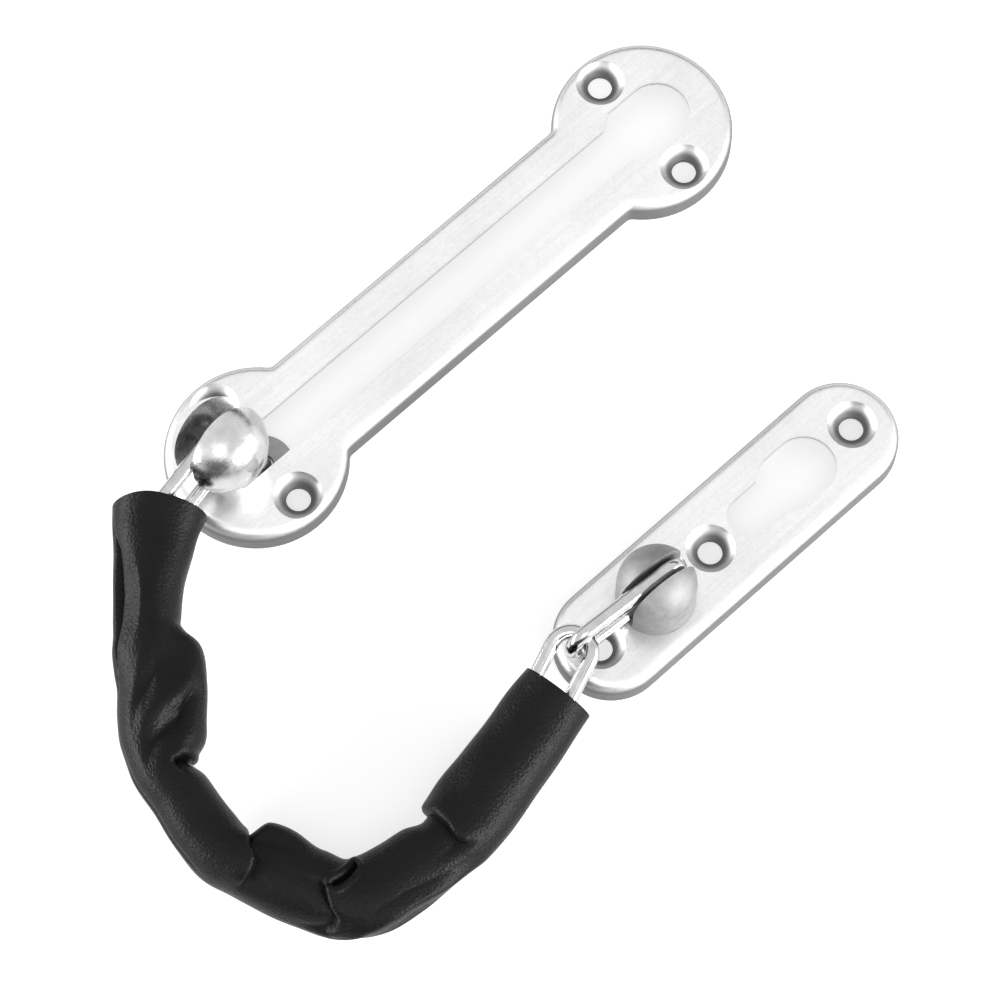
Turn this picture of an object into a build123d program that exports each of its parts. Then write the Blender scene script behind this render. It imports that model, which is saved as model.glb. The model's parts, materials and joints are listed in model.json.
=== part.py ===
"""Door chain: a slotted slide plate, the ball button that runs in it, nine welded links in a leather sleeve,
and an anchor plate with a slotted stud. It lies on its plates' flat backs, with the slot along X."""

import os
from math import cos, radians, sin, sqrt

from build123d import *
from numpy import interp

# Pressed plates, in millimetres
plate_height = 5.2
sheet = 1.2
rim_round = 2.2
hole_r = 2.15
sink_r = 4.3
dimple_wall = 0.5
dimple_depth = 3.0

# Slide plate: two round ends joined by the rails on either side of the slot
end_r = 16.0
end_spacing = 90.6
rail_width = 20.4
junction_round = 1.5
screw_spread = 21.8
slot_width = 7.6
slot_end_overrun = 4.9
keyhole_width = 11.6
keyhole_length = 12.2
keyhole_overrun = 3.6
shoulder_length = 2.9

# Anchor plate: an obround with three screws and a parking keyhole
anchor_length = 74.0
anchor_width = 20.0
anchor_end_screw = 7.5
anchor_mid_screw = 33.1
stud_from_end = 20.3
parking_width = 11.2
parking_length = 15.0
parking_end = 13.2
parking_neck_width = 7.4
parking_neck_length = 7.6

# Chain: welded oval links of round wire, every second one upright
wire = 2.6
link_length = 25.7
link_width = 9.6
link_play = 0.35
weld_swell = 0.12
weld_length = 0.7
link_headings = (190.0, 230.0, 234.0, 262.5, 299.5, 346.5, 370.0, 380.0, 356.0)
crossing_heights = (11.0, 11.0, 10.2, 8.2, 6.9, 6.9, 8.0, 11.6)

# Button: a slotted ball on a neck that leans in the slot, with a foot riveted loosely behind the plate
ball_r = 8.2
ball_clear = 0.25
head_slot = 5.2
head_slot_aside = 0.75
neck_r = 2.2
neck_lean = 30.0
lean_heading = 140.0
foot_r = 5.4
foot_thick = 0.9
foot_lift = 2.2
foot_clear = 0.1
foot_from_slot_end = 4.6
foot_aside = -1.9
tenon_r = 1.4
tenon_fit = 0.55
rivet_r = 2.7
rivet_thick = 0.7
pin_r = 1.25
pin_fit = 0.02

# Stud: a slotted dome on a shank that turns in the anchor plate
dome_r = 6.9
dome_side = 6.6
stud_slot = 3.7
stud_floor = 0.6
shank_r = 2.5
shank_fit = 0.05
stud_play = 0.1
clinch_r = 4.0
clinch_thick = 1.0
link_clear = 0.3
anchor_slack = 1.9

# Sleeve: a sewn leather tube over the middle of the chain, wide at its mouths and pinched where it bends;
# each station gives its middle, then half its width and half its height
sleeve_wall = 0.45
sleeve_rings = 30
sleeve_stations = (
    ((-64.9, 1.7, 11.4), 7.7, 6.2),
    ((-70.3, -2.9, 11.1), 6.9, 5.7),
    ((-77.6, -9.4, 11.0), 6.1, 5.5),
    ((-83.0, -18.4, 11.0), 7.6, 5.8),
    ((-88.0, -25.0, 10.8), 7.4, 5.8),
    ((-92.4, -30.6, 10.4), 6.7, 5.9),
    ((-95.2, -35.0, 10.0), 5.7, 6.1),
    ((-96.2, -42.3, 9.3), 5.8, 6.3),
    ((-96.6, -50.4, 8.4), 6.0, 6.3),
    ((-94.3, -56.0, 7.8), 6.8, 6.2),
    ((-91.3, -62.0, 7.4), 6.9, 6.0),
    ((-87.8, -68.0, 7.1), 6.7, 5.9),
    ((-82.2, -71.4, 6.9), 6.5, 5.8),
    ((-74.6, -73.0, 6.9), 6.3, 5.6),
    ((-67.8, -73.8, 6.9), 5.9, 5.6),
    ((-63.0, -73.4, 7.0), 6.9, 5.8),
    ((-48.6, -70.4, 7.8), 6.6, 6.0),
    ((-37.0, -67.7, 9.6), 6.4, 5.4),
)

os.makedirs("parts", exist_ok=True)
low = (Align.CENTER, Align.CENTER, Align.MIN)
high = (Align.CENTER, Align.CENTER, Align.MAX)


def finish(part, name):
    """Names a finished piece and writes it to its own file."""
    part.label = name
    export_step(part, f"parts/{name}.step")


def heading(angle, rise=0.0):
    """The unit vector along a compass angle in the XY plane that climbs by the sine given."""
    level = sqrt(1 - rise * rise)
    return Vector(level * cos(radians(angle)), level * sin(radians(angle)), rise)


# Slide plate
screw_x = end_spacing / 2
slot_start = -screw_x - slot_end_overrun
keyhole_end = screw_x + keyhole_overrun
keyhole_start = keyhole_end - (keyhole_length - keyhole_width / 2)
under_sheet = plate_height - sheet

with BuildPart() as slide_plate:
    with BuildSketch():
        with GridLocations(end_spacing, 0, 2, 1):
            Circle(end_r)
        Rectangle(end_spacing, rail_width)
        inner_corners = vertices().filter_by(lambda v: abs(v.X) < screw_x)
        fillet(inner_corners, junction_round)
    extrude(amount=plate_height)
    fillet(faces().sort_by(Axis.Z)[-1].edges(), rim_round)
    offset(amount=-sheet, openings=faces().sort_by(Axis.Z)[0])
    with Locations(Plane.XY.offset(plate_height - dimple_depth)):
        with GridLocations(end_spacing, screw_spread, 2, 2):
            Cone(hole_r + dimple_wall, sink_r + dimple_wall, under_sheet - plate_height + dimple_depth,
                 align=low)
    with Locations(Plane.XY.offset(plate_height)):
        with GridLocations(end_spacing, screw_spread, 2, 2):
            CounterSinkHole(hole_r, sink_r, depth=plate_height, counter_sink_angle=90)
    with BuildSketch():
        with Locations(((slot_start + keyhole_end) / 2, 0)):
            SlotCenterToCenter(keyhole_end - slot_start, slot_width)
        with Locations(((keyhole_start + keyhole_end) / 2, 0)):
            Rectangle(keyhole_end - keyhole_start, keyhole_width)
        with Locations((keyhole_end, 0)):
            Circle(keyhole_width / 2)
        with BuildLine():
            Polyline(
                (keyhole_start, keyhole_width / 2),
                (keyhole_start - shoulder_length, slot_width / 2),
                (keyhole_start - shoulder_length, -slot_width / 2),
                (keyhole_start, -keyhole_width / 2),
                close=True,
            )
        make_face()
    extrude(amount=plate_height, mode=Mode.SUBTRACT)
finish(slide_plate.part, "slide_plate")

# Chain: the crossings are where an upright link's wire stands in its neighbour's bow
lean_axis = heading(lean_heading, cos(radians(neck_lean)))
foot_place = Vector(slot_start + foot_from_slot_end, foot_aside, foot_lift)
ball_height = plate_height + ball_clear + ball_r
neck_run = (ball_height - foot_lift) / cos(radians(neck_lean))
pin_to_bow = pin_r + link_play + wire / 2
bow_r = (link_width - wire) / 2
bow_to_bow = link_length - wire
flat_reach = wire + link_play
stud_base = plate_height + stud_play
swing_reach = link_width / 2 + pin_to_bow + anchor_slack - bow_r
stud_height = stud_base + stud_floor + link_clear + swing_reach
link_count = len(link_headings)
steps = [bow_to_bow - 2 * flat_reach if k % 2 else bow_to_bow for k in range(link_count)]
steps[0] -= pin_to_bow
steps[-1] -= pin_to_bow + anchor_slack

directions = []
crossings = [foot_place + lean_axis * neck_run]
for angle, step, height in zip(link_headings, steps, (*crossing_heights, stud_height)):
    directions.append(heading(angle, (height - crossings[-1].Z) / step))
    crossings.append(crossings[-1] + directions[-1] * step)

# Button: the ball's slot holds both the neck's axis and the first link
head_x = lean_axis.cross(lean_axis.cross(directions[0])).normalized()
head_plane = Plane(origin=crossings[0], x_dir=head_x, z_dir=lean_axis)
head_floor = link_width / 2 + link_clear
shoulder_height = foot_lift + foot_thick / 2 + foot_clear + neck_r * sin(radians(neck_lean))
neck_length = (ball_height - shoulder_height) / cos(radians(neck_lean))
rivet_top = foot_lift - foot_thick / 2 - foot_clear
tenon_length = (ball_height - rivet_top) / cos(radians(neck_lean))
rivet_place = crossings[0] - lean_axis * tenon_length

with BuildPart(Plane(origin=foot_place)) as button_foot:
    Cylinder(foot_r, foot_thick)
    chamfer(edges().filter_by(GeomType.CIRCLE), foot_thick / 4)
    Hole(tenon_r + tenon_fit)
finish(button_foot.part, "button_foot")

with BuildPart(head_plane) as button_head:
    Sphere(ball_r)
    with Locations((0, 0, -neck_length)):
        Cylinder(neck_r, neck_length, align=low)
    with Locations((0, 0, -tenon_length)):
        Cylinder(tenon_r, tenon_length, align=low)
    with BuildSketch(Plane(origin=rivet_place)):
        Circle(rivet_r)
    extrude(amount=-rivet_thick)
    Cylinder(pin_r + pin_fit, 3 * ball_r, rotation=(90, 0, 0), mode=Mode.SUBTRACT)
    with Locations((0, head_slot_aside, -head_floor)):
        Box(3 * ball_r, head_slot, 3 * ball_r, align=low, mode=Mode.SUBTRACT)
finish(button_head.part, "button_head")

with BuildPart(head_plane) as button_pin:
    Cylinder(pin_r, 2 * ball_r, rotation=(90, 0, 0))
    Sphere(ball_r, mode=Mode.INTERSECT)
finish(button_pin.part, "button_pin")


def wire_link(start, along, across):
    """An oval of round wire with its first bow at start and the swell of its weld on one bar."""
    half_bar = (link_length - link_width) / 2
    plane = Plane(origin=start + along * (bow_to_bow / 2), x_dir=along, z_dir=along.cross(across))
    with BuildPart() as oval:
        with BuildLine(plane) as loop:
            Line((-half_bar, bow_r), (half_bar, bow_r))
            CenterArc((half_bar, 0), bow_r, 90, -180)
            Line((half_bar, -bow_r), (-half_bar, -bow_r))
            CenterArc((-half_bar, 0), bow_r, -90, -180)
        with BuildSketch(Plane(origin=loop.line @ 0, z_dir=loop.line % 0)):
            Circle(wire / 2)
        sweep()
        with Locations(Plane(origin=plane.from_local_coords((0, bow_r, 0)), z_dir=along)):
            Cylinder(wire / 2 + weld_swell, weld_length)
    return oval.part


for k, (joint, along) in enumerate(zip(crossings, directions)):
    level = Vector(0, 0, 1).cross(along).normalized()
    if k == 0:
        link = wire_link(joint - along * pin_to_bow, along, head_plane.y_dir.cross(along))
    elif k % 2:
        link = wire_link(joint - along * flat_reach, along, level)
    else:
        link = wire_link(joint, along, along.cross(level))
    finish(link, f"link_{k + 1}")

# Sleeve: an oval tube of evenly spaced rings along a smooth run through the stations
middles, half_widths, half_heights = zip(*sleeve_stations)
with BuildLine() as sleeve_line:
    Spline(*middles)
sleeve_run = sleeve_line.edge()
places = [sleeve_run.param_at_point(middle) for middle in middles]

with BuildPart() as sleeve:
    for inset, mode in ((0, Mode.ADD), (sleeve_wall, Mode.SUBTRACT)):
        for k in range(sleeve_rings):
            share = k / (sleeve_rings - 1)
            along = sleeve_run % share
            across = along.cross(Vector(0, 0, 1))
            half_width = interp(share, places, half_widths)
            half_height = interp(share, places, half_heights)
            with BuildSketch(Plane(origin=sleeve_run @ share, x_dir=across, z_dir=along)):
                Ellipse(half_width - inset, half_height - inset)
        loft(mode=mode)
finish(sleeve.part, "sleeve")

# Anchor plate: it lies where the chain ends, with the stud through its near end
stud_place = Vector(crossings[-1].X, crossings[-1].Y, 0)
anchor_left = -stud_from_end
anchor_right = anchor_left + anchor_length
anchor_plane = Plane(origin=stud_place)
anchor_screws = (anchor_left + anchor_end_screw, anchor_left + anchor_mid_screw, anchor_right - anchor_end_screw)
parking_right = anchor_right - parking_end
parking_left = parking_right - parking_length
neck_left = parking_left - parking_neck_length

with BuildPart(anchor_plane) as anchor_plate:
    with BuildSketch(anchor_plane):
        with Locations(((anchor_left + anchor_right) / 2, 0)):
            SlotOverall(anchor_length, anchor_width)
    extrude(amount=plate_height)
    fillet(faces().sort_by(Axis.Z)[-1].edges(), rim_round)
    offset(amount=-sheet, openings=faces().sort_by(Axis.Z)[0])
    with Locations([(x, 0, plate_height - dimple_depth) for x in anchor_screws]):
        Cone(hole_r + dimple_wall, sink_r + dimple_wall, under_sheet - plate_height + dimple_depth,
             align=low)
    with Locations([(x, 0, plate_height) for x in anchor_screws]):
        CounterSinkHole(hole_r, sink_r, depth=plate_height, counter_sink_angle=90)
    with BuildSketch(anchor_plane):
        with Locations(((parking_left + parking_right) / 2, 0)):
            SlotOverall(parking_length, parking_width)
        with Locations(((neck_left + parking_right) / 2, 0)):
            SlotOverall(parking_right - neck_left, parking_neck_width)
        Circle(shank_r + shank_fit)
    extrude(amount=plate_height, mode=Mode.SUBTRACT)
finish(anchor_plate.part, "anchor_plate")

# Stud: a dome over the plate, its shank through the sheet and clinched behind it
shank_length = sheet + 2 * stud_play
stud_plane = anchor_plane.offset(stud_base).rotated((0, 0, link_headings[-1]))

with BuildPart(stud_plane) as anchor_stud:
    Cylinder(dome_r, dome_side, align=low)
    with Locations((0, 0, dome_side)):
        Sphere(dome_r, arc_size1=0, align=low)
    with Locations((0, 0, stud_floor)):
        Box(2 * dome_r, stud_slot, 2 * dome_r, align=low, mode=Mode.SUBTRACT)
    Cylinder(shank_r, shank_length, align=high)
    with Locations((0, 0, -shank_length)):
        Cylinder(clinch_r, clinch_thick, align=high)
    with Locations((0, 0, stud_height - stud_base)):
        Cylinder(pin_r + pin_fit, 3 * dome_r, rotation=(90, 0, 0), mode=Mode.SUBTRACT)
finish(anchor_stud.part, "anchor_stud")

with BuildPart(stud_plane) as anchor_pin:
    with Locations((0, 0, stud_height - stud_base)):
        Cylinder(pin_r, 3 * dome_r, rotation=(90, 0, 0))
    with Locations((0, 0, dome_side)):
        Sphere(dome_r, mode=Mode.INTERSECT)
finish(anchor_pin.part, "anchor_pin")
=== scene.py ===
"""A door chain laid out on a white table: slotted slide plate, ball button, links in a leather sleeve, anchor plate."""

import json

import bpy
import numpy as np
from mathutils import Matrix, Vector


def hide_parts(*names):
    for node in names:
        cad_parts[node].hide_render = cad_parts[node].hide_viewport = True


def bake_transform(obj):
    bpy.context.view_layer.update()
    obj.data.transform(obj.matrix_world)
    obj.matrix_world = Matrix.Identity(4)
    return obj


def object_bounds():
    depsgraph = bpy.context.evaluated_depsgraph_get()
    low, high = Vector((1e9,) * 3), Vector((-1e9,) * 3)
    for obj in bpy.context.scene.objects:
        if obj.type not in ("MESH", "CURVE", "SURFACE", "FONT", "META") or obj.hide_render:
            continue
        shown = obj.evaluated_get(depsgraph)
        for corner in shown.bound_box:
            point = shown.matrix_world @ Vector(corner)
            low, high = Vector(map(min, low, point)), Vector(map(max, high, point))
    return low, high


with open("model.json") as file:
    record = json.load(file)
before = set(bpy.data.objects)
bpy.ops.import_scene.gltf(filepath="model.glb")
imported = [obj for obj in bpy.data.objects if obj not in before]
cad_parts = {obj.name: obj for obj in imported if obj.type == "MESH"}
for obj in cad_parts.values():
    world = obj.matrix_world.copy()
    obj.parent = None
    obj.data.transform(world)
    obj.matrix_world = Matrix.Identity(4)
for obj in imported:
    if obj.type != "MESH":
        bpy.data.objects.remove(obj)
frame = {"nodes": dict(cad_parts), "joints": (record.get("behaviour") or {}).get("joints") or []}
cad_low, cad_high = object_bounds()
scene = bpy.context.scene
scene.view_settings.view_transform = "Standard"

# Slide plate and anchor plate: pressed from stainless sheet and brushed along their length. The brush leaves long
# fine strokes on the flats. The walls, rims and screw dimples below the top face are rougher and get painted shade.


class Value:
    """A shader socket that takes part in sums and products as a number does."""

    def __init__(self, tree, socket):
        self.tree = tree
        self.socket = socket

    def node(self, kind, settings, inputs, output=0):
        """Adds a node of that type, gives it its settings and then its inputs, and returns one output."""
        made = self.tree.nodes.new(kind)
        for name, value in settings.items():
            setattr(made, name, value)
        for name, value in inputs.items():
            if isinstance(value, Value):
                self.tree.links.new(value.socket, made.inputs[name])
            else:
                made.inputs[name].default_value = value
        return Value(self.tree, made.outputs[output])

    def math(self, operation, *values):
        return self.node("ShaderNodeMath", {"operation": operation}, dict(enumerate(values)))

    def __add__(self, other):
        return self.math("ADD", self, other)

    def __rsub__(self, other):
        return self.math("SUBTRACT", other, self)

    def __mul__(self, other):
        return self.math("MULTIPLY", self, other)

    __radd__ = __add__

    def ramp(self, start, end, first, last):
        """first up to start and last after end, with a smooth rise between."""
        return self.node(
            "ShaderNodeMapRange",
            {"interpolation_type": "SMOOTHSTEP"},
            {"Value": self, "From Min": start, "From Max": end, "To Min": first, "To Max": last},
        )

    def noise(self, scale, detail=2.0, rough=0.5):
        """Soft noise about 0.5 at this place, with that many features to the metre."""
        inputs = {"Vector": self, "Scale": scale, "Detail": detail, "Roughness": rough}
        return self.node("ShaderNodeTexNoise", {}, inputs)

    def stretched(self, x, y, z):
        """This place with its three axes scaled, so that noise runs long one way."""
        return self.node("ShaderNodeVectorMath", {"operation": "MULTIPLY"}, {0: self, 1: (x, y, z)})

    def bump(self, strength, distance):
        """The normal of a surface that this height raises by at most the distance given."""
        inputs = {"Height": self, "Strength": strength, "Distance": distance}
        return self.node("ShaderNodeBump", {}, inputs, "Normal")

    def feed(self, socket):
        """Joins this value to an input of the shader."""
        self.tree.links.new(self.socket, socket)


def finish(name, **fixed):
    """A material with those values fixed on its shader; returns it, the shader's inputs and its object coordinates."""
    made = bpy.data.materials.new(name)
    made.use_nodes = True
    tree = made.node_tree
    shader = tree.nodes["Principled BSDF"]
    for socket, value in fixed.items():
        shader.inputs[socket.replace("_", " ")].default_value = value
    coordinates = tree.nodes.new("ShaderNodeTexCoord")
    return made, shader.inputs, Value(tree, coordinates.outputs["Object"])


def dress(made, *names):
    """Gives a CAD node the material in place of its own."""
    for name in names:
        frame["nodes"][name].data.materials.clear()
        frame["nodes"][name].data.materials.append(made)


stainless, inputs, place = finish("stainless", Metallic=1.0)
strokes = place.stretched(60, 2400, 2400).noise(1.0, 4.0, 0.6)
grain = place.noise(2200.0, 4.0, 0.7)
clouds = place.noise(70.0, 3.0)
height = place.node("ShaderNodeSeparateXYZ", {}, {"Vector": place}, "Z")
dimple_floor, plate_top = 0.0036, 0.0052
# Painted shade: from the top face down to the dimple floor the colour falls to 0.22 of its own, and the roughness
# rises.
painted_shade_and_polish = height.ramp(dimple_floor, plate_top, 0.22, 1.0)
(painted_shade_and_polish * (0.52 + strokes * 0.18 + grain * 0.28 + clouds * 0.22)).feed(inputs["Base Color"])
(0.68 - painted_shade_and_polish * 0.44 + strokes * 0.12 + clouds * 0.08).feed(inputs["Roughness"])
(strokes + grain * 0.5).bump(0.14, 0.00005).feed(inputs["Normal"])
dress(stainless, "slide_plate", "anchor_plate")

# Ball: turned steel, polished once and scuffed since, and split by a slot for the first link. Its lower side mirrors
# the dark surround, and the scuffs break that up.
scuffed, inputs, place = finish("scuffed polish", Metallic=1.0)
patches = place.noise(230.0, 4.0, 0.6)
scratches = place.stretched(300, 1500, 900).noise(1.0, 5.0, 0.65)
(0.44 + patches * 0.38).feed(inputs["Base Color"])
(0.08 + patches * 0.22 + scratches * 0.14).feed(inputs["Roughness"])
(patches + scratches * 0.35).bump(0.22, 0.0004).feed(inputs["Normal"])
dress(scuffed, "button_head")

# Links: ovals of drawn steel wire, welded on one bar and tumbled bright. They mirror what stands round them, with
# small smears from handling.
bright, inputs, place = finish("bright wire", Metallic=1.0)
smears = place.noise(420.0, 4.0)
(0.40 + smears * 0.36).feed(inputs["Base Color"])
(0.05 + smears * 0.20).feed(inputs["Roughness"])
place.noise(900.0, 3.0).bump(0.10, 0.0001).feed(inputs["Normal"])
dress(bright, *(f"link_{k}" for k in range(1, 10)))

# Stud and the two pins: a turned steel dome with a slot for the last link, left dull, with the scuffs of the chain on
# its flanks. The pins through the dome and the ball are of the same steel, filed off flush.
dull, inputs, place = finish("dull steel", Metallic=1.0)
scuffs = place.noise(620.0, 5.0, 0.65)
(0.18 + scuffs * 0.24).feed(inputs["Base Color"])
(0.56 + scuffs * 0.2).feed(inputs["Roughness"])
scuffs.bump(0.2, 0.0001).feed(inputs["Normal"])
dress(dull, "anchor_stud", "anchor_pin", "button_pin")

# Foot: a washer of plain steel riveted to the button behind the slide plate. It is dark from the press and rubs
# there, so it is stained.
dark, inputs, place = finish("dark steel", Metallic=1.0)
stains = place.noise(520.0, 4.0, 0.6)
(0.20 + stains * 0.24).feed(inputs["Base Color"])
(0.36 + stains * 0.2).feed(inputs["Roughness"])
dress(dark, "button_foot")

# Sleeve: thin black leather sewn to a tube along its outer edge and pulled over the chain. It is soft, so it widens
# at the mouths, twists to a waist and laps over itself in a fold wherever the chain turns.
leather, inputs, place = finish("leather", Base_Color=(0.004, 0.004, 0.004, 1), Specular_IOR_Level=0.14)
cut = place.node("ShaderNodeUVMap", {"uv_map": "cut"}, {})
pebbles = cut.node("ShaderNodeTexVoronoi", {"feature": "SMOOTH_F1"}, {"Vector": cut, "Scale": 2700.0}, "Distance")
wear = cut.noise(240.0, 3.0)
(0.30 + wear * 0.12 + pebbles * 0.12).feed(inputs["Roughness"])
pebbles.bump(0.8, 0.00012).feed(inputs["Normal"])

turns = ("link_1_turn", "link_2_turn", "link_3_turn", "link_4_turn", "link_6_turn", "link_7_turn", "link_8_turn")
joints = {joint["name"]: joint for joint in frame["joints"]}
crossings = np.array(
    [joints[name]["pos_m"] for name in ("button_tilt", *turns, "link_9_turn", "stud_tilt")], float
)

# Each station of the lining: its place along the chain, where whole numbers are the crossings, how far its middle
# lies towards the outer edge, half its width and half its height, in millimetres.
stations = np.array(
    [
        (0.72, 1.5, 7.6, 6.2),
        (0.91, -0.3, 6.8, 5.9),
        (1.19, -0.8, 6.2, 5.7),
        (1.52, 0.0, 5.6, 5.6),
        (1.80, 0.3, 5.3, 5.6),
        (1.97, 0.3, 5.3, 5.6),
        (2.08, 0.0, 6.1, 5.8),
        (2.18, -0.9, 7.1, 5.9),
        (2.40, -1.4, 7.2, 5.8),
        (2.65, -0.8, 7.0, 5.8),
        (2.82, -0.6, 6.6, 5.9),
        (2.93, -0.3, 5.6, 5.9),
        (3.03, -0.1, 5.1, 6.0),
        (3.35, -0.1, 5.0, 6.0),
        (3.75, 0.0, 5.1, 6.0),
        (4.05, 0.0, 5.2, 6.2),
        (4.17, 0.6, 5.1, 6.4),
        (4.29, 0.4, 5.9, 6.4),
        (4.45, 0.6, 6.2, 6.2),
        (4.70, 1.0, 6.3, 6.0),
        (4.95, 0.9, 6.3, 5.8),
        (5.20, 1.5, 6.5, 5.7),
        (5.50, 1.3, 6.2, 5.6),
        (5.78, 0.7, 6.0, 5.6),
        (6.02, 0.3, 5.7, 5.7),
        (6.13, 0.3, 6.4, 5.8),
        (6.30, 0.2, 6.9, 5.8),
        (6.64, 0.0, 6.8, 5.9),
        (6.89, -0.1, 6.7, 5.8),
        (7.22, 0.2, 6.5, 5.5),
        (7.56, 1.2, 6.2, 5.3),
    ]
)


def curve(places, values, at):
    """A smooth curve through the values: a cubic between neighbours whose slope at each is the mean of both sides."""
    slopes = np.gradient(values, places, axis=0)
    k = np.clip(np.searchsorted(places, at) - 1, 0, len(places) - 2)
    width = (places[k + 1] - places[k])[:, None]
    t = (at[:, None] - places[k][:, None]) / width
    rise = values[k + 1] - values[k]
    bend_in = slopes[k] * width - rise
    bend_out = rise - slopes[k + 1] * width
    return values[k] + t * rise + t * (1 - t) * ((1 - t) * bend_in + t * bend_out)


def unit(vectors):
    """Each row scaled to length 1."""
    return vectors / np.linalg.norm(vectors, axis=-1, keepdims=True)


whole = np.minimum(stations[:, 0].astype(int), len(crossings) - 2)
share = (stations[:, 0] - whole)[:, None]
runs = crossings[whole + 1] - crossings[whole]
outward = unit(np.cross(runs, (0, 0, 1)))
middles = crossings[whole] + share * runs + outward * stations[:, 1:2] / 1000
along = np.concatenate([[0], np.cumsum(np.linalg.norm(np.diff(middles, axis=0), axis=1))]) * 1000
ring_gap = 0.28
around = 200
places = np.linspace(0, along[-1], int(along[-1] / ring_gap) + 1)
spine = curve(along, middles, places)
half = curve(along, stations[:, 2:], places)

# The rings turn with the mean heading over a few of their neighbours, so that a local bulge doesn't tip them.
steady = 14
padded = np.pad(unit(np.gradient(spine, axis=0)), ((steady, steady), (0, 0)), mode="edge")
windows = np.lib.stride_tricks.sliding_window_view(padded, 2 * steady + 1, axis=0)
heading = unit(windows.mean(-1))
across = unit(np.cross(heading, (0, 0, 1)))
upward = np.cross(across, heading)
angle = np.linspace(0, 2 * np.pi, around, endpoint=False)

# s runs along the tube in millimetres; phi runs round it in degrees from the outer edge over the top; side goes from
# 1 at the outer edge to -1 at the inner one.
s, phi = np.meshgrid(places, np.degrees(angle), indexing="ij")
side = np.cos(np.radians(phi))
wide, tall = half[:, 0, None] * side, half[:, 1, None] * np.sin(np.radians(phi))
reach, turned = np.hypot(wide, tall), np.arctan2(tall, wide)


def ease(t):
    """0 below 0 and 1 above 1, with a smooth rise between."""
    t = np.clip(t, 0, 1)
    return t * t * (3 - 2 * t)


def bell(value, middle, reach):
    """1 at the middle, nearly flat across the reach and soon 0 past it; angles wrap round."""
    return np.exp(-(((value - middle + 180) % 360 - 180) / reach) ** 4)


top = ease((phi - 4) / 16) * (1 - ease((phi - 195) / 25))


def run_of(*points):
    """How far s is past a line across the tube that passes the points given as side and place."""
    sides, where = zip(*points)
    return s - np.interp(side, sides, where)


def valley(x, depth, width):
    """A soft valley of that depth and half width along the line where x is 0."""
    return -depth * np.exp(-((x / width) ** 2))


def lap(x, lip, dip, run):
    """Where x passes 0 the tube laps over what follows: it swells to the lip, then drops to the dip and fills out."""
    edge, lip_run = 0.4, 2.5
    over = 0.5 * (1 - np.tanh(x / edge))
    return over * lip * np.exp(-np.abs(x) / lip_run) - (1 - over) * dip * np.exp(-((np.abs(x) / run) ** 1.5))


def lip_push(x):
    """How far a lip is drawn out over what follows it: half a millimetre, in a bell just before x passes 0."""
    return 0.5 * np.exp(-(((x + 0.5) / 0.7) ** 2))


swell = 0.06 * np.sin(s / 2.9 + np.radians(phi) * 2) + 0.04 * np.sin(s / 1.7 - np.radians(phi) * 3 + 1.0)
slide = np.zeros_like(s)

# The seam: a flat strip of two layers stands out along the outer edge of the first bend, with the stitches beside it.
# The tube is cut back to a level ledge that reaches in as far as the stitches and to the upright step behind them.
seam = np.interp(
    s, (0.5, 3.3, 5.7, 8.7, 12.3, 16.5, 21.0, 24.0, 28.0, 33.0, 37.5), (2, 15, 27, 40, 46, 47, 43, 36, 28, 18, 2)
)
ledge = 1.9
stitch_gap = 1.7
upright = half[:, 0, None] * np.cos(np.radians(seam)) / np.maximum(np.cos(turned), 0.02)
level = ledge / np.maximum(np.sin(turned), 0.02)
strip = np.where(phi < 90, np.minimum(np.maximum(level, upright) - reach, 0), 0)
swell += (np.roll(strip, 1, 1) + 2 * strip + np.roll(strip, -1, 1)) / 4
crease = np.degrees(np.arctan2(ledge, half[:, 0, None] * np.cos(np.radians(seam))))
stitches = 0.5 + 0.5 * np.cos(2 * np.pi * s / stitch_gap)
swell -= (0.15 + 0.25 * stitches) * np.exp(-(((phi - crease - 1) / 3.0) ** 2)) * ease((seam - 12) / 15)
swell += valley(phi - 15, 0.5, 4.5) * bell(s, 54, 8)

# The waist: the leather is drawn flat from the stitches up to a ridge near the middle, in a face that leans outwards.
waist = np.exp(-(((s - 17.5) / 7.5) ** 2))
waist_cut = 0.9
lean = np.radians(40)
face = (reach.mean(1, keepdims=True) - waist_cut * waist) / np.maximum(np.sin(lean + turned), 0.05)
swell += np.where((phi > 20) & (phi < 120), np.minimum(face - reach, 0), 0) * waist
swell += 0.2 * waist * np.exp(-(((phi - 100) / 18) ** 2))

# The shoulder: three twisted folds run from the inner edge down towards the outer one.
ridge = run_of((-1, 20.5), (-0.52, 22.5), (0.16, 27.3), (0.45, 30.6), (0.65, 35.4), (0.85, 40.0))
swell -= valley(ridge, 0.25, 4.0) * bell(phi, 80, 40)
first = run_of((-1, 28.0), (-0.79, 28.3), (-0.31, 28.7), (0.08, 30.0), (0.27, 32.4), (0.42, 33.9), (0.6, 37.0))
swell += valley(first, 1.0, 3.4) * bell(phi, 100, 42)
between = run_of((-1, 31.5), (-0.6, 33.5), (-0.1, 36.0), (0.3, 38.5))
swell -= valley(between, 0.5, 2.4) * bell(phi, 112, 50)
second = run_of((-1, 33.0), (-0.79, 34.4), (-0.49, 38.7), (-0.12, 40.5), (0.27, 42.9), (0.5, 44.5))
swell += valley(second, 1.5, 2.7) * bell(phi, 108, 40)

# The pinch: the shoulder closes over the narrow stretch in a pocket at the inner edge.
pinch = run_of((-1, 46.2), (-0.76, 45.2), (-0.6, 45.0), (-0.35, 46.0), (-0.1, 47.0))
hold = ease((-0.22 - side) / 0.3) * top
swell += lap(pinch, 0.45, 2.3, 2.6) * hold
slide += lip_push(pinch) * hold

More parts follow.
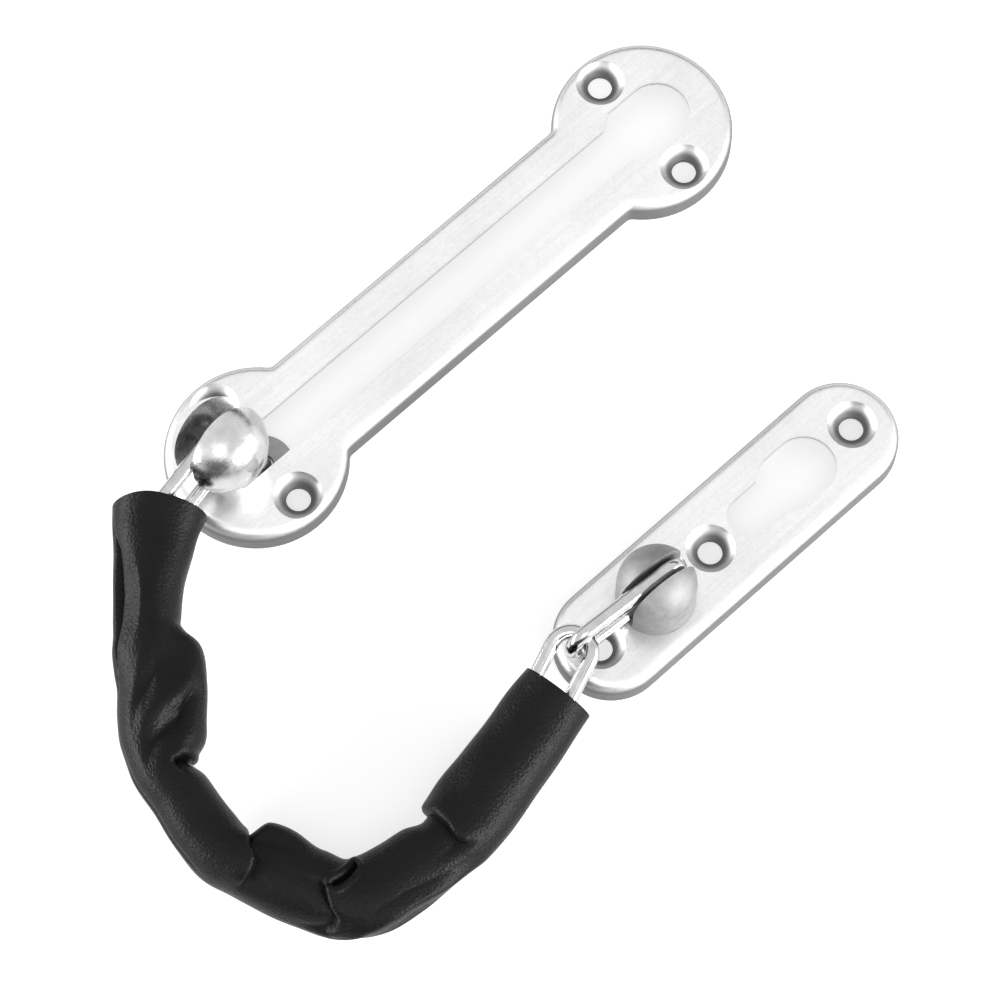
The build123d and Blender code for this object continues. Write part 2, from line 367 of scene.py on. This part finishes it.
# The flap: the narrow stretch ends in a free edge over the wider tube, which comes out from under it in a hump.
flap = run_of(
    (-1, 66.3), (-0.6, 66.6), (-0.35, 67.2), (-0.2, 68.2), (0.0, 69.0), (0.3, 69.2), (0.65, 68.9), (0.9, 68.2)
)
hold = ease((0.95 - side) / 0.5) * ease((side + 0.95) / 0.35) * top
swell += lap(flap, 0.45, 1.6, 4.2) * hold
slide += lip_push(flap) * hold
swell += 1.5 * ease((s - 66.9) / 2.6) * (1 - ease((s - 72.0) / 7.0)) * bell(phi, 166, 30)
swell += valley(s - 66.4, 0.8, 0.9) * bell(phi, 172, 34)

# The pleat: the next stretch laps back over the hump, and at its inner end the fold is rolled open like a lip.
pleat = run_of((-0.25, 82.2), (-0.08, 82.5), (0.42, 84.0), (0.68, 85.2), (0.91, 84.9), (1.0, 83.7))
hold = ease((side + 0.22) / 0.2) * top
swell += lap(-pleat, 0.5, 1.35, 2.6) * hold
slide -= lip_push(-pleat) * hold
roll_from = np.array((83.6, -1.0))
roll_run = np.array((4.6, -3.2))
past = np.stack([s, wide], -1) - roll_from
far = np.clip(past @ roll_run / (roll_run @ roll_run), 0, 1)
off = np.linalg.norm(past - far[..., None] * roll_run, axis=-1)
swell += (0.35 * np.exp(-(((off - 1.3) / 0.5) ** 2)) - 1.4 * np.exp(-((off / 0.75) ** 2))) * (phi < 180)

# The crest: a sharp crease on the outer side of the last bend, with a flat facet below it.
crease = np.interp(s, (84, 86.1, 88.2, 90.9, 94.2, 98.1, 102, 104.4, 107), (2, 11, 28, 38, 38, 31, 22, 16, 8))
drop = crease - ((phi + 180) % 360 - 180)
swell += bell(s, 95.5, 10.5) * (np.clip(1 - np.abs(drop) / 20, 0, 1) - 0.25 * bell(drop, 30, 12))

# The step: the last leg starts with a free edge over the end of the bend.
step = run_of(
    (-1, 107.8), (-0.87, 108.0), (-0.49, 108.0), (-0.12, 107.7), (0.12, 107.1), (0.38, 106.8), (0.62, 107.5)
)
hold = ease((0.75 - side) / 0.45) * top
swell += lap(-step, 0.4, 1.5, 3.6) * hold
slide -= lip_push(-step) * hold
swell += valley(s - 116 - 6 * side, 0.25, 3.0) * bell(phi, 140, 35)

# The mouths: the first opens upwards with its outer edge drawn back, and the last is cut a little aslant.
mouth = np.sin(np.radians(phi)) * (1.2 * np.exp(-s / 4.0) - 0.6 * np.exp(-(places[-1] - s) / 4.0))
mouth -= 1.9 * np.clip(side, 0, 1) ** 2 * np.exp(-s / 5.0)

stretch = 1 + swell / reach
lining = spine[:, None] + across[:, None] * (wide * stretch / 1000)[..., None]
lining += upward[:, None] * (tall * stretch / 1000)[..., None]
lining += heading[:, None] * ((slide - mouth) / 1000)[..., None]

# The underside lies just over the table, and just over the plates where the chain crosses or the slide plate runs.
over_table = 0.0009
over_plate = np.maximum(ease((spine[:, 1] + 0.040) / 0.010), spine[:, 0] > -0.045)
lining[..., 2] = np.maximum(lining[..., 2], over_table + plate_top * over_plate[:, None])

wall = 0.00045
step_along = np.gradient(lining, axis=0)
step_round = np.roll(lining, -1, axis=1) - np.roll(lining, 1, axis=1)
inward = unit(np.cross(step_round, step_along))
outside = lining - inward * wall
round_length = np.linalg.norm(np.roll(lining, -1, axis=1) - lining, axis=-1).sum(1).mean()


def shell(name, first, last):
    """A closed piece of the tube from one ring to another: its lining, its outside and a rim at either end."""
    count = last - first + 1
    points = np.concatenate([lining[first:last + 1].reshape(-1, 3), outside[first:last + 1].reshape(-1, 3)])
    out = count * around
    i, j = np.meshgrid(np.arange(count - 1), np.arange(around), indexing="ij")
    i, j = i.ravel(), j.ravel()
    after = (j + 1) % around
    tube = np.stack([i * around + j, i * around + after, (i + 1) * around + after, (i + 1) * around + j], 1)
    j = np.arange(around)
    after = (j + 1) % around
    near = np.stack([j + out, after + out, after, j], 1)
    end = (count - 1) * around
    far = np.stack([j + end, after + end, after + end + out, j + end + out], 1)
    faces = np.concatenate([tube, tube[:, ::-1] + out, near, far])
    mesh = bpy.data.meshes.new(name)
    mesh.vertices.add(len(points))
    mesh.vertices.foreach_set("co", points.astype(np.float32).ravel())
    mesh.loops.add(faces.size)
    mesh.loops.foreach_set("vertex_index", faces.astype(np.int32).ravel())
    mesh.polygons.add(len(faces))
    mesh.polygons.foreach_set("loop_start", np.arange(0, faces.size, 4, dtype=np.int32))
    mesh.update(calc_edges=True)
    mesh.validate()
    ring, turn = np.divmod(faces.ravel() % out, around)
    turn = turn.reshape(-1, 4)
    turn = np.where((turn == 0) & (turn.max(1, keepdims=True) == around - 1), around, turn).ravel()
    uv = np.stack([turn / around * round_length, places[first + ring] / 1000], 1)
    mesh.uv_layers.new(name="cut").data.foreach_set("uv", uv.astype(np.float32).ravel())
    facing_in = inward[first:last + 1].reshape(-1, 3)
    facing = np.concatenate([facing_in, -facing_in])[faces]
    facing[-2 * around:-around] = -heading[first]
    facing[-around:] = heading[last]
    mesh.polygons.foreach_set("use_smooth", np.ones(len(faces), dtype=bool))
    mesh.normals_split_custom_set(facing.reshape(-1, 3).tolist())
    made = bpy.data.objects.new(name, mesh)
    scene.collection.objects.link(made)
    mesh.materials.append(leather)
    return made


cuts = [0]
for k in range(1, len(turns)):
    halfway = (crossings[k] + crossings[k + 1]) / 2
    cuts.append(int(np.argmin(np.linalg.norm(spine - halfway, axis=1))))
cuts.append(len(places) - 1)

# The sleeve is cut into one piece for each turn, at the rings nearest the points halfway between the crossings.
for k, name in enumerate(turns):
    piece = shell(f"sleeve_{k + 1}", cuts[k], cuts[k + 1])
    nearest = int(np.argmin(np.linalg.norm(spine - crossings[k + 1], axis=1)))
    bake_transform(piece)
    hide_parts("sleeve")

# Table and surround: a pale table under an even white surround, which the metal mirrors. Two long lamps stand low on
# either side and two smaller ones in front, and dark cards in front and behind give the metal its grey edges.
table = bpy.data.objects.new("table", bpy.data.meshes.new("table"))
table.data.from_pydata([(-3, -3, 0), (3, -3, 0), (3, 3, 0), (-3, 3, 0)], [], [(0, 1, 2, 3)])
scene.collection.objects.link(table)
table.location.z = cad_low.z - 0.0002
paper, inputs, _ = finish("paper", Base_Color=(0.6, 0.6, 0.6, 1), Roughness=1.0, Specular_IOR_Level=0.0)
table.data.materials.append(paper)

world = bpy.data.worlds.new("surround")
scene.world = world
world.use_nodes = True


def shown(tree):
    """1 for rays that see the surround, straight or in metal and glass, and 0 for those that only light a surface."""
    rays = tree.nodes.new("ShaderNodeLightPath")
    straight, mirrored, through = (
        Value(tree, rays.outputs[name]) for name in ("Is Camera Ray", "Is Glossy Ray", "Is Transmission Ray")
    )
    return straight + mirrored + through


(shown(paper.node_tree) * 0.66).feed(inputs["Emission Color"])
inputs["Emission Strength"].default_value = 1.0
sky = world.node_tree.nodes["Background"]
sky.inputs["Color"].default_value = (1, 1, 1, 1)
(0.5 + shown(world.node_tree) * 0.5).feed(sky.inputs["Strength"])

# The middle of the picture on the table, and the table's directions that run right and up in the picture.
centre = Vector((-0.01909, -0.03367, 0.0))
image_right = Vector((0.7395, -0.6732, 0.0))
image_up = Vector((0.6732, 0.7395, 0.0))


def lamp(name, aside, ahead, height, wide, tall, power):
    """An area lamp aimed at the chain, placed by the picture's right and upward directions on the table."""
    data = bpy.data.lights.new(name, "AREA")
    data.shape = "RECTANGLE"
    data.size = wide
    data.size_y = tall
    data.energy = power
    made = bpy.data.objects.new(name, data)
    made.location = centre + image_right * aside + image_up * ahead + Vector((0, 0, height))
    made.rotation_euler = (centre - made.location).to_track_quat("-Z", "Y").to_euler()
    scene.collection.objects.link(made)


lamp("left lamp", -0.75, -0.12, 0.15, 1.00, 0.17, 9.0)
lamp("right lamp", 0.70, -0.34, 0.17, 1.00, 0.17, 6.0)
lamp("front lamp", 0.0, -0.60, 0.95, 0.60, 0.60, 1.4)
lamp("low lamp", 0.42, -0.40, 0.22, 0.40, 0.16, 3.5)


felt = finish("card", Base_Color=(0.06, 0.06, 0.06, 1), Roughness=1.0, Specular_IOR_Level=0.0)[0]


def card(name, ahead, tall):
    """A long dark upright card, straight in front of the chain or behind it, that only mirror reflections see."""
    made = bpy.data.objects.new(name, bpy.data.meshes.new(name))
    half_length = image_right * 0.9
    foot = centre + image_up * ahead
    head = foot + Vector((0, 0, tall))
    corners = [foot - half_length, foot + half_length, head + half_length, head - half_length]
    made.data.from_pydata(corners, [], [(0, 1, 2, 3)])
    made.data.materials.append(felt)
    made.visible_camera = False
    made.visible_diffuse = False
    made.visible_shadow = False
    scene.collection.objects.link(made)


card("front card", -0.45, 0.30)
card("back card", 0.60, 0.22)

# Camera: it stands over the lower left of the table and looks down steeply. Its lens is long, so the long sides of
# the plates stay nearly parallel.
camera = bpy.data.objects.new("camera", bpy.data.cameras.new("camera"))
camera.data.lens = 166.78
camera.data.sensor_width = 36.0
camera.location = (-0.19349, -0.22524, 0.75689)
camera.rotation_euler = (centre - camera.location).to_track_quat("-Z", "Y").to_euler()
scene.collection.objects.link(camera)
scene.camera = camera
